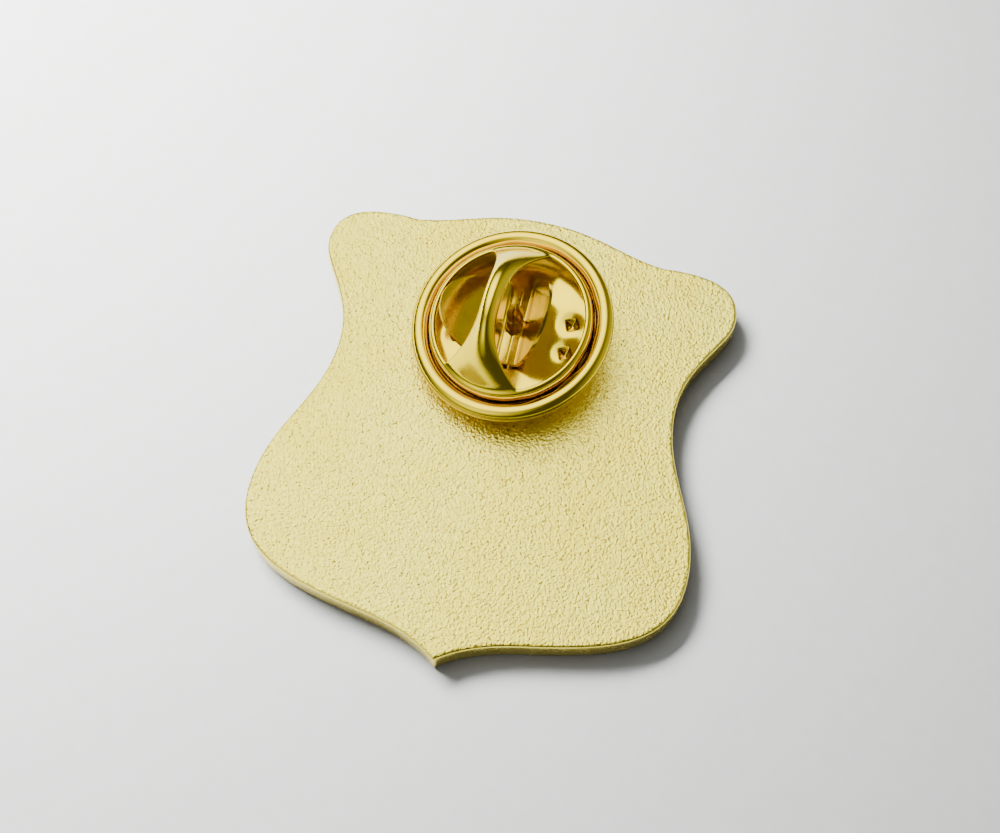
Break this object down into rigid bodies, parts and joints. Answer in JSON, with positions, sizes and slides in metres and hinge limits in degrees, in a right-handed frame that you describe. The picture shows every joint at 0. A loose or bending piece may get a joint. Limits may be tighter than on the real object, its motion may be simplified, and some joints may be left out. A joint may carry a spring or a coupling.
{
  "type": "shield lapel pin with butterfly clutch",
  "caption": "Shield-shaped enamel lapel pin with raised wings on its front and a sandblasted back, held by a post and a squeeze-release butterfly clutch.",
  "frame": {"origin": "middle of the shield's box on the plane its front rim rests on, with the pin lying face down", "axes": "+Z out of the plate's back along the post, +Y towards the shield's crowned top edge, X across the shield"},
  "size_m": [0.0254, 0.0282, 0.0078],
  "materials": {
    "plate_gold": "pale gold plate, sandblasted back and polished edge",
    "clutch_gold": "polished yellow gold plate",
    "spring_gold": "polished spring brass",
    "solder": "dull solder",
    "navy_enamel": "glossy enamel",
    "sky_enamel": "glossy enamel",
    "white_enamel": "glossy enamel",
    "red_enamel": "glossy enamel"
  },
  "bodies": {
    "badge": {"badge_plate": "plate_gold", "border_enamel": "navy_enamel", "upper_field_enamel": "sky_enamel", "lower_field_enamel": "navy_enamel", "chevron_enamel": "white_enamel", "base_field_enamel": "navy_enamel", "roundel_enamel": "red_enamel", "feather_enamel_left_1": "white_enamel", "feather_enamel_left_2": "white_enamel", "feather_enamel_left_3": "white_enamel", "feather_enamel_left_4": "white_enamel", "feather_enamel_right_1": "white_enamel", "feather_enamel_right_2": "white_enamel", "feather_enamel_right_3": "white_enamel", "feather_enamel_right_4": "white_enamel", "post": "plate_gold", "solder_fillet": "solder"},
    "clutch": {"clutch_cup": "clutch_gold", "clutch_cap": "clutch_gold"},
    "left_wing": {"wing_lever_left": "spring_gold"},
    "right_wing": {"wing_lever_right": "spring_gold"}
  },
  "joints": [
    {"name": "clutch_pull_off", "type": "slide", "parent": "badge", "child": "clutch", "axis": [0, 0, 1], "range_m": [0, 0.012]},
    {"name": "left_wing_squeeze", "type": "hinge", "parent": "clutch", "child": "left_wing", "pos_m": [-0.00067, 0.00586, 0.00348], "axis": [0, 0.9938, 0.1115], "range_deg": [0, 18], "stiffness_Nm_per_rad": 0.004},
    {"name": "right_wing_squeeze", "type": "hinge", "parent": "clutch", "child": "right_wing", "pos_m": [0.00067, 0.00584, 0.0037], "axis": [0, -0.9938, -0.1115], "range_deg": [0, 18], "stiffness_Nm_per_rad": 0.004}
  ],
  "couplings": [
    {"joint": "right_wing_squeeze", "follows": "left_wing_squeeze", "ratio": 1}
  ]
}
